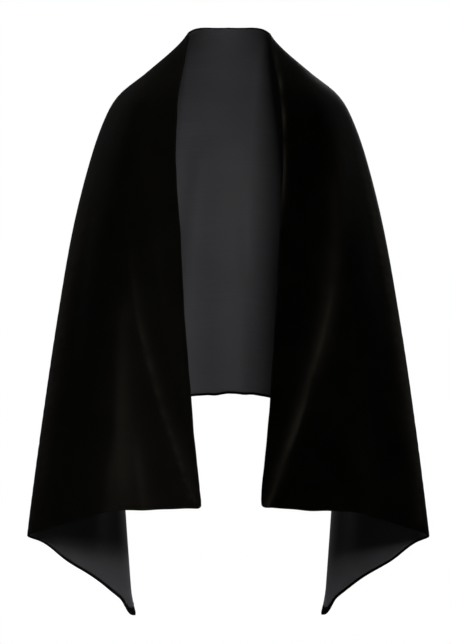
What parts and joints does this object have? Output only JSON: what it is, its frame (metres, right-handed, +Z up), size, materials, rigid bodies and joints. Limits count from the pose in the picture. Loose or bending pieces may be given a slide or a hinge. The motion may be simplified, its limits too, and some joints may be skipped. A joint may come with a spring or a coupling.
{
  "type": "evening stole",
  "caption": "Wide rectangular velvet stole with a satin lining, in the open cape-like form it has worn round the shoulders, its rear corners hanging in points below the hem.",
  "frame": {"origin": "middle of the line between the two shoulder points, where the wearer carries the stole", "axes": "+Z up, +X towards the wearer's left shoulder, -Y the way the wearer faces"},
  "size_m": [0.6778, 0.3467, 1.025],
  "materials": {
    "velvet": "soft pile velvet, black",
    "satin": "dull satin weave, black-grey"
  },
  "bodies": {
    "root": {"velvet_shell": "velvet", "satin_lining": "satin"}
  },
  "joints": []
}
